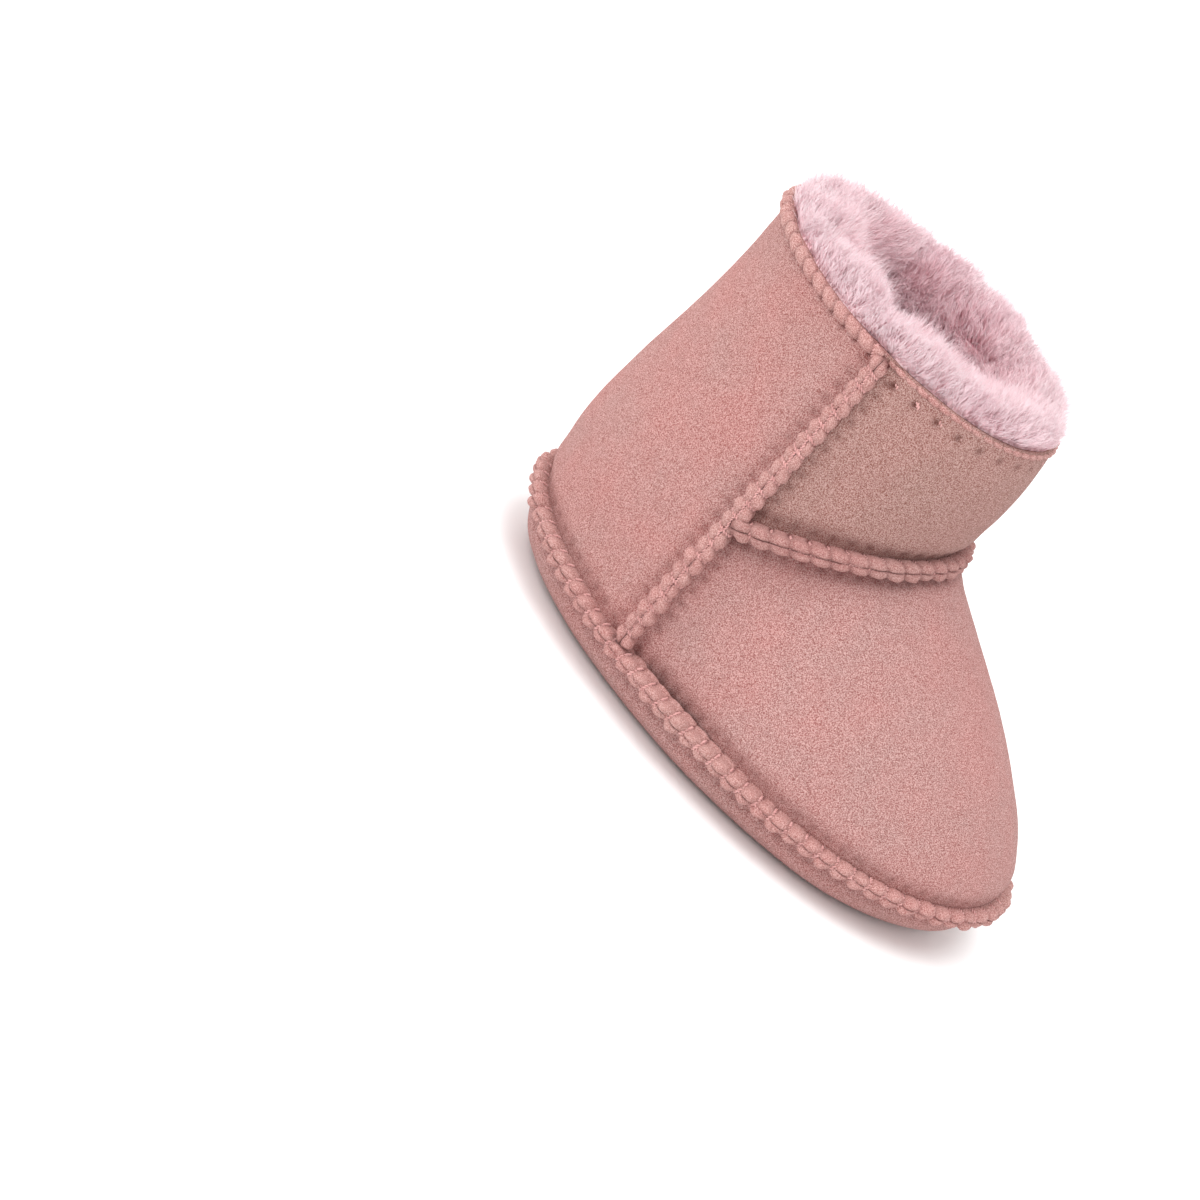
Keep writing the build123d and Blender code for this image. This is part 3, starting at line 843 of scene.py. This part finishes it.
def shaft_wool_grid(surface, low, high, columns, rows):
    """Inner face of the shaft's wool, from the foot up, and over the rim to the skin."""
    angle = np.linspace(low, high, columns)
    angles, shares = grid_over(low, high, columns, np.linspace(WOOL_LOW, WOOL_HIGH, rows))
    skin_grid = surface_grid(surface, angles, shares)
    inward = np.stack([-np.sin(angle), np.cos(angle), np.zeros_like(angle)], -1)[:, None]
    inner = skin_grid + inward * (WALL + np.interp(shares, *DEPTH_KNOTS))[..., None]
    turn = np.linspace(0, pi, 15)[1:]
    rim = surface(angle, np.ones_like(angle))
    across = mix(RIM_EDGE, WALL + RIM_DEPTH, 0.5 * (1 + np.cos(turn)))[None, :, None]
    crest = ROLL_RISE - FRONT_FALL * np.cos(angle)[:, None] ** 2
    rise = (crest * np.sin(turn) - RIM_DROP + RIM_CLIMB * (1 - np.cos(turn)))[..., None]
    roll = rim[:, None] + inward * across + rise * UP
    wall = np.concatenate([skin_grid, np.repeat(skin_grid[:, -1:], len(turn), 1)], 1)
    wall = wall + inward * WALL
    wall[:, rows:] += np.linspace(0, 1, len(turn))[None, :, None] * UP
    return np.concatenate([inner, roll], 1), wall


def wool_bed(soup, inner, wall, pale):
    """Closed bed of wool from its loose face to the skin; returns the face and its normals."""
    normals = grid_normals(inner)
    toward = unit(inner - wall)
    normals = normals * np.sign(np.sum(normals * toward, -1).sum() + 1e-9)
    bump = bumps(inner, WOOL_BUMPS)
    face = inner + normals * bump[..., None]
    # The face is paler where its bumps stand out and darker in their dips, as painted shade.
    slab(soup, face, wall, np.clip(pale + 0.3 * bump, 0.1, 0.9), np.full(bump.shape, BED_SHADE))
    return face, normals


def scatter(face, normals, density, rng):
    """Random roots spread over a grid at a density for each square millimetre."""
    a, b, c = face[:-1, :-1], face[1:, :-1], face[:-1, 1:]
    area = np.linalg.norm(np.cross(b - a, c - a), axis=-1)
    weight = (area * density[:-1, :-1]).ravel()
    count = int(weight.sum())
    cell = rng.choice(len(weight), count, p=weight / weight.sum())
    i, j = np.divmod(cell, face.shape[1] - 1)
    u, v = rng.random((2, count, 1))

    def blend(grid):
        return ((1 - u) * (1 - v) * grid[i, j] + u * (1 - v) * grid[i + 1, j]
                + (1 - u) * v * grid[i, j + 1] + u * v * grid[i + 1, j + 1])

    return blend(face), unit(blend(normals)), j + v[:, 0]


def add_fibres(soup, root, heading, tip, width, shade, rng):
    """Thin tapered three-sided fibres from root to tip that first follow the heading."""
    count, n = len(root), FIBRE_SIDES
    side = unit(np.cross(heading, unit(rng.normal(size=(count, 3)))))
    other = np.cross(heading, side)
    span = np.linalg.norm(tip - root, axis=1, keepdims=True)
    wave = rng.uniform(0.04, 0.11, (count, 1)) * span
    phase = rng.uniform(0, 2 * pi, (count, 1))
    rings = []
    for t in STATIONS:
        centre = (1 - t) ** 2 * root + 2 * t * (1 - t) * (root + heading * span * 0.55) + t * t * tip
        centre = centre + side * wave * np.sin(phase + 5.5 * t) * t
        radius = (width * (1 - TAPER * t))[:, None]
        for turn in np.arange(n) * 2 * pi / n:
            rings.append(centre + radius * (np.cos(turn) * side + np.sin(turn) * other))
    points = np.stack(rings + [tip], 1)
    quads = grid_faces(len(STATIONS), n, wrap=True)
    at_tip = n * len(STATIONS)
    ends = [[at_tip - n + k, at_tip - n + (k + 1) % n, at_tip] for k in range(n)]
    ends = np.array(ends + [[2, 1, 0]])
    start = (np.arange(count) * (at_tip + 1))[:, None, None]
    # Painted shade of the pile: each fibre is darker toward its root, and its tip is paler where its
    # tone is higher.
    along = np.append(np.repeat(STATION_TONES, n), 1.0)
    palest = np.clip(0.52 + 0.85 * shade[:, None], 0, 1)
    shades = mix(shade[:, None], palest, along)
    soup.add(points.reshape(-1, 3), shades.ravel(), (start + quads).reshape(-1, 4),
             (start + ends).reshape(-1, 3))


def fibres(face, normals, density, length, lift, pale, rng):
    """Roots, headings, tips and tones of fibres that gather into locks."""
    root, normal, row = scatter(face, normals, density, rng)
    lock_density = np.full(face.shape[:2], LOCK_DENSITY)
    lock_root, lock_normal, lock_row = scatter(face, normals, lock_density, rng)
    rows = np.arange(face.shape[1])

    def heading(normal, row, place):
        aim = normal + np.interp(row, rows, lift)[:, None] * UP
        swirl = np.stack([noise(place, SWIRL_SCALE, 21 + k) for k in range(3)], -1)
        return unit(aim + SWIRL * swirl)

    aim = heading(normal, row, root)
    lock_aim = heading(lock_normal, lock_row, lock_root)
    size = np.interp(row, rows, length) * rng.uniform(*LENGTH_RANGE, len(root))
    size = size * (1 + bumps(root, LENGTH_BUMPS))
    lock_size = np.interp(lock_row, rows, length)
    nearest = np.concatenate([
        np.linalg.norm(part[:, None] - lock_root[None], axis=2).argmin(1)
        for part in np.array_split(root, max(1, len(root) // CHUNK))])
    own_tip = root + unit(aim + rng.normal(0, OWN_WAY, root.shape)) * size[:, None]
    gather = rng.uniform(*GATHER_RANGE, len(root))[:, None]
    stray = (rng.random(len(root)) < STRAY_SHARE)[:, None]
    reach = (lock_size[nearest] * size / size.mean())[:, None]
    lock_tip = (lock_root[nearest] + lock_aim[nearest] * reach
                + LOCK_SPREAD * (root - lock_root[nearest]))
    tip = mix(own_tip, lock_tip, np.where(stray, 0.0, gather))
    tip = root + (tip - root) * np.where(stray, rng.uniform(*STRAY_LENGTH, gather.shape), 1.0)
    tone = np.interp(row, rows, pale) + rng.normal(0, TONE_SPREAD, len(root))
    tone = np.clip(tone, 0.0, 0.9)
    return root, aim, tip, tone


def fibre_pieces(name, made, material, rng, width):
    """Fibres joined, in order of angle, into pieces of an even number."""
    root, aim, tip, tone = made
    order = np.argsort(np.arctan2(root[:, 0], AXIS_Y - root[:, 1]))
    count = int(np.ceil(len(order) / BIGGEST_PIECE))
    for number, chosen in enumerate(np.array_split(order, count)):
        soup = Soup()
        thick = width * rng.uniform(0.7, 1.25, len(chosen))
        add_fibres(soup, root[chosen], aim[chosen], tip[chosen], thick, tone[chosen], rng)
        soup.piece(f"{name}_{number + 1}", "wool", material)


def shaft_wool(name, surface, low, high, columns, node_name, material):
    rng = np.random.default_rng(SEED + columns)
    soup = Soup()
    rows = 60
    inner, wall = shaft_wool_grid(surface, low, high, columns, rows)
    count = inner.shape[1]
    rim = rows / (count - 1)
    share = np.linspace(0, 1, count)
    # Tone from deep in the hollow up to the rim: the darker hollow is partly painted shade.
    pale = np.interp(share, [0, 0.6 * rim, rim, 1], [0.2, 0.26, 0.36, 0.66])
    face, normals = wool_bed(soup, inner, wall, pale)
    soup.piece(name, "wool", material, [node_name])
    density = np.interp(share, [0, 0.45 * rim, 0.75 * rim, rim, 1], [0.8, 3.5, 10.0, 15.0, 19.0])
    length = np.interp(share, [0, 0.75 * rim, rim, 1], [4.0, 5.4, 5.8, 3.4])
    lift = np.interp(share, [0, 0.6 * rim, rim, 1], [0.15, 0.35, 0.75, 1.1])
    made = fibres(face, normals, np.broadcast_to(density, face.shape[:2]), length, lift, pale, rng)
    fibre_pieces(f"{name}_fibres", made, material, rng, SHAFT_FIBRE)


def foot_wool(name, grid, away, node_name, material):
    """Wool under a panel of the foot; away is the way from the skin into the hollow."""
    rng = np.random.default_rng(SEED + len(name))
    soup = Soup()
    wall = grid + away * WALL
    inner = grid + away * (WALL + FOOT_DEPTH)
    face, normals = wool_bed(soup, inner, wall, 0.3)
    soup.piece(name, "wool", material, [node_name])
    density = np.full(face.shape[:2], 1.1)
    even = np.ones(face.shape[1])
    made = fibres(face, normals, density, 2.6 * even, 0 * even, 0.3 * even, rng)
    fibre_pieces(f"{name}_fibres", made, material, rng, FOOT_FIBRE)


def vamp_wool(material):
    angles, shares = grid_over(-SIDE * 0.97, SIDE * 0.97, 110, np.linspace(0.12, 0.93, 50))
    grid = surface_grid(vamp_surface, angles, shares)
    normals = grid_normals(grid)
    inside = np.sign(np.sum(normals * (np.array([0, 0, 15.0]) - grid), -1).sum())
    foot_wool("vamp_wool", grid, normals * inside, "vamp_pile", material)


def sole_wool(material):
    depth = np.append(np.linspace(0.12, 1, 16), np.linspace(1.04, 1.99, 24))
    grid = sole_surface(*grid_over(0, 2 * pi, 181, depth))
    grid[..., :2] *= SOLE_WOOL_SCALE
    foot_wool("sole_wool", grid, UP, "sole_pile", material)


# Materials

def material_with(name):
    """New material, its nodes, links and shader, and the place on the piece."""
    material = bpy.data.materials.new(name)
    material.use_nodes = True
    nodes, links = material.node_tree.nodes, material.node_tree.links
    place = nodes.new("ShaderNodeTexCoord").outputs["Object"]
    return material, nodes, links, nodes["Principled BSDF"], place


def node(nodes, kind, **values):
    """New node with values for its sockets or settings."""
    made = nodes.new(kind)
    fill_in(made, values)
    return made


def fill_in(made, values):
    """Sets sockets of a node, or its settings where it has no such socket."""
    for key, value in values.items():
        if key in made.inputs:
            made.inputs[key].default_value = value
        else:
            setattr(made, key, value)


def srgb(r, g, b):
    """Linear colour with alpha from 8-bit display values."""
    c = np.array([r, g, b]) / 255
    c = np.where(c <= 0.04045, c / 12.92, ((c + 0.055) / 1.055) ** 2.4)
    return (*c.tolist(), 1.0)


def colour_mix(nodes, links, factor, low, high, blend="MIX"):
    """Mix of two colours or sockets; returns its result socket."""
    made = nodes.new("ShaderNodeMix")
    made.data_type = "RGBA"
    made.blend_type = blend
    for socket, value in ((made.inputs[0], factor), (made.inputs[6], low), (made.inputs[7], high)):
        if isinstance(value, bpy.types.NodeSocket):
            links.new(value, socket)
        else:
            socket.default_value = value
    return made.outputs[2]


def speckle(nodes, links, place, scale, detail, low, high):
    """Noise of a scale in metres mapped so that it runs from 0 at low to 1 at high."""
    pattern = node(nodes, "ShaderNodeTexNoise", Scale=1 / scale, Detail=detail, Roughness=0.6)
    links.new(place, pattern.inputs["Vector"])
    band = node(nodes, "ShaderNodeMapRange", **{"From Min": low, "From Max": high})
    links.new(pattern.outputs[0], band.inputs[0])
    return band.outputs[0]


def suede(name, main, worn, deep, nap=1.0):
    """Napped suede: mottled dye, grain as strong as its nap, and painted shade toward the deep
    colour where the shade attribute is low: dark slits at the stitches, stitch holes, creases and
    painted shadows beside the seams.
    """
    material, nodes, links, shader, place = material_with(name)
    shade = node(nodes, "ShaderNodeAttribute", attribute_name="shade").outputs["Fac"]
    mottle = speckle(nodes, links, place, 0.016, 3.0, 0.35, 0.68)
    grain = speckle(nodes, links, place, 0.00022, 2.0, 0.38, 0.62)
    colour = colour_mix(nodes, links, mottle, main, worn)
    dark_grain = colour_mix(nodes, links, nap, colour, (0.58, 0.52, 0.51, 1), "MULTIPLY")
    light_grain = colour_mix(nodes, links, 0.30 * nap, colour, (1.0, 0.86, 0.82, 1))
    colour = colour_mix(nodes, links, grain, dark_grain, light_grain)
    # painted shade: toward the deep colour where the shade attribute is low
    colour = colour_mix(nodes, links, shade, deep, colour)
    links.new(colour, shader.inputs["Base Color"])
    fill_in(shader, {"Roughness": 0.92, "Specular IOR Level": 0.18, "Sheen Weight": 0.16,
                     "Sheen Roughness": 0.45, "Sheen Tint": srgb(240, 196, 190)})
    coarse = node(nodes, "ShaderNodeTexNoise", Scale=1 / 0.0022, Detail=2.0)
    fine = node(nodes, "ShaderNodeTexNoise", Scale=1 / 0.00026, Detail=2.0, Roughness=0.6)
    for texture in (coarse, fine):
        links.new(place, texture.inputs["Vector"])
    under = node(nodes, "ShaderNodeBump", Strength=0.15, Distance=0.0003)
    over = node(nodes, "ShaderNodeBump", Strength=nap, Distance=0.00045)
    links.new(coarse.outputs[0], under.inputs["Height"])
    links.new(fine.outputs[0], over.inputs["Height"])
    links.new(under.outputs[0], over.inputs["Normal"])
    links.new(over.outputs[0], shader.inputs["Normal"])
    return material


def thread_material():
    material, nodes, links, shader, place = material_with("pink_thread")
    fleck = speckle(nodes, links, place, 0.0016, 3.0, 0.35, 0.65)
    colour = colour_mix(nodes, links, fleck, srgb(188, 132, 128), srgb(216, 164, 160))
    links.new(colour, shader.inputs["Base Color"])
    fill_in(shader, {"Roughness": 0.45, "Specular IOR Level": 0.55, "Sheen Weight": 0.25})
    return material


def wool_material():
    """Wool: deep pink at each fibre's root and down in the hollow, pale at its tip, where shade is
    highest; the deep pink is partly the wool's own colour and partly painted shade of the pile and
    the hollow.
    """
    material, nodes, links, shader, place = material_with("pink_wool")
    along = node(nodes, "ShaderNodeAttribute", attribute_name="shade").outputs["Fac"]
    patch = speckle(nodes, links, place, 0.007, 2.0, 0.3, 0.7)
    pale = colour_mix(nodes, links, patch, srgb(248, 234, 238), srgb(250, 243, 245))
    colour = colour_mix(nodes, links, along, srgb(254, 166, 177), pale)
    links.new(colour, shader.inputs["Base Color"])
    fill_in(shader, {"Roughness": 0.75, "Specular IOR Level": 0.3, "Sheen Weight": 0.8,
                     "Sheen Roughness": 0.6, "Sheen Tint": srgb(255, 206, 216)})
    return material


# Studio

PIVOT = np.array([0.0, 0.0, 50.0])
VIEW_AZIMUTH, VIEW_ELEVATION, VIEW_ROLL = -81.65, 24.56, 42.21
VIEW_DISTANCE = 849.5
VIEW_RIGHT, VIEW_UP = 55.97, 9.985  # the bootie stands this far off the picture's centre
FOCAL_OVER_WIDTH = 3.786
SKY_STRENGTH = 1.12


def camera():
    azimuth, elevation, roll = np.radians([VIEW_AZIMUTH, VIEW_ELEVATION, VIEW_ROLL])
    back = np.array([np.sin(azimuth) * np.cos(elevation), -np.cos(azimuth) * np.cos(elevation),
                     np.sin(elevation)])
    level = np.array([np.cos(azimuth), np.sin(azimuth), 0.0])
    up = np.cross(back, level)
    right = np.cos(roll) * level + np.sin(roll) * up
    top = -np.sin(roll) * level + np.cos(roll) * up
    place = PIVOT + VIEW_DISTANCE * back - VIEW_RIGHT * right - VIEW_UP * top
    data = bpy.data.cameras.new("camera")
    data.sensor_width = 36.0
    data.lens = FOCAL_OVER_WIDTH * data.sensor_width
    data.clip_start, data.clip_end = 0.01, 20.0
    made = bpy.data.objects.new("camera", data)
    axes = Matrix([list(right), list(top), list(back)]).transposed().to_4x4()
    made.matrix_world = Matrix.Translation(Vector(place * MM)) @ axes
    bpy.context.scene.collection.objects.link(made)
    bpy.context.scene.camera = made
    return right, top, back


def sun(name, direction, strength, spread):
    """Broad even light that comes from a direction; spread is its width in degrees."""
    data = bpy.data.lights.new(name, "SUN")
    data.energy = strength
    data.angle = radians(spread)
    lamp = bpy.data.objects.new(name, data)
    lamp.rotation_mode = "QUATERNION"
    lamp.rotation_quaternion = Vector(direction).to_track_quat("Z", "Y")
    bpy.context.scene.collection.objects.link(lamp)


def floor():
    material, nodes, links, shader, place = material_with("pale_floor")
    cloud = speckle(nodes, links, place, 0.4, 2.0, 0.3, 0.7)
    links.new(colour_mix(nodes, links, cloud, (0.92, 0.92, 0.92, 1), (0.95, 0.95, 0.95, 1)),
              shader.inputs["Base Color"])
    fill_in(shader, {"Roughness": 0.5})
    bpy.ops.mesh.primitive_plane_add(size=6.0, location=(0, 0, -0.0002))
    plane = bpy.context.object
    plane.name = "floor"
    plane.data.materials.append(material)


def studio():
    right, top, back = camera()
    floor()
    sun("key", back * 0.62 + top * 0.62 - right * 0.22, strength=1.15, spread=50)
    sun("over", UP + 0.30 * back, strength=1.1, spread=35)
    world = bpy.data.worlds.new("studio")
    bpy.context.scene.world = world
    world.use_nodes = True
    sky = world.node_tree.nodes["Background"]
    sky.inputs[0].default_value = (1, 1, 1, 1)
    sky.inputs[1].default_value = SKY_STRENGTH
    bpy.context.scene.view_settings.view_transform = "Standard"


studio()
# the last colour of each suede is the dark that its painted shade goes toward
SUEDE = suede("pink_suede", srgb(191, 118, 113), srgb(183, 125, 120), srgb(98, 46, 43))
CORAL_SUEDE = suede("coral_suede", srgb(189, 112, 106), srgb(181, 119, 113), srgb(98, 46, 43))
BROWNER_SUEDE = suede("browner_suede", srgb(171, 111, 100), srgb(168, 114, 102), srgb(90, 46, 40))
EDGE_SUEDE = suede("turned_edge_suede", srgb(193, 129, 123), srgb(192, 138, 131), srgb(92, 42, 40),
                   nap=0.8)
THREAD = thread_material()
vamp_skin(SUEDE)
front_shaft_skin(BROWNER_SUEDE)
heel_quarter_skin(CORAL_SUEDE)
sole_skin(SUEDE)

WOOL = wool_material()
shaft_wool("heel_quarter_wool", quarter_surface, SIDE, 3 * SIDE, 150, "heel_quarter_pile", WOOL)
shaft_wool("front_shaft_wool", front_shaft_surface, -SIDE, SIDE, 151, "front_shaft_pile", WOOL)
vamp_wool(WOOL)
sole_wool(WOOL)

collar_stitches("back_collar_stitches", BACK_HOLES,
                [(2.5, -0.6), (2.3, 0.05), (1.7, 0.52), (0.8, 0.70), (0.25, 0.45), (0.3, -0.4)],
                "collar_thread_back", THREAD)
collar_stitches("front_collar_stitches", FRONT_HOLES,
                [(3.8, -0.5), (3.5, 0.10), (3.0, 0.12), (2.7, -0.4)],
                "collar_thread_front", THREAD)
for name, seam in (("sole", SOLE_SEAM), ("left_side", LEFT_SEAM), ("right_side", RIGHT_SEAM),
                   ("instep", INSTEP_SEAM)):
    stitches = Soup()
    overcast(stitches, seam)
    stitches.piece(f"{name}_stitches", "thread", THREAD, [f"{name}_seam_thread"])
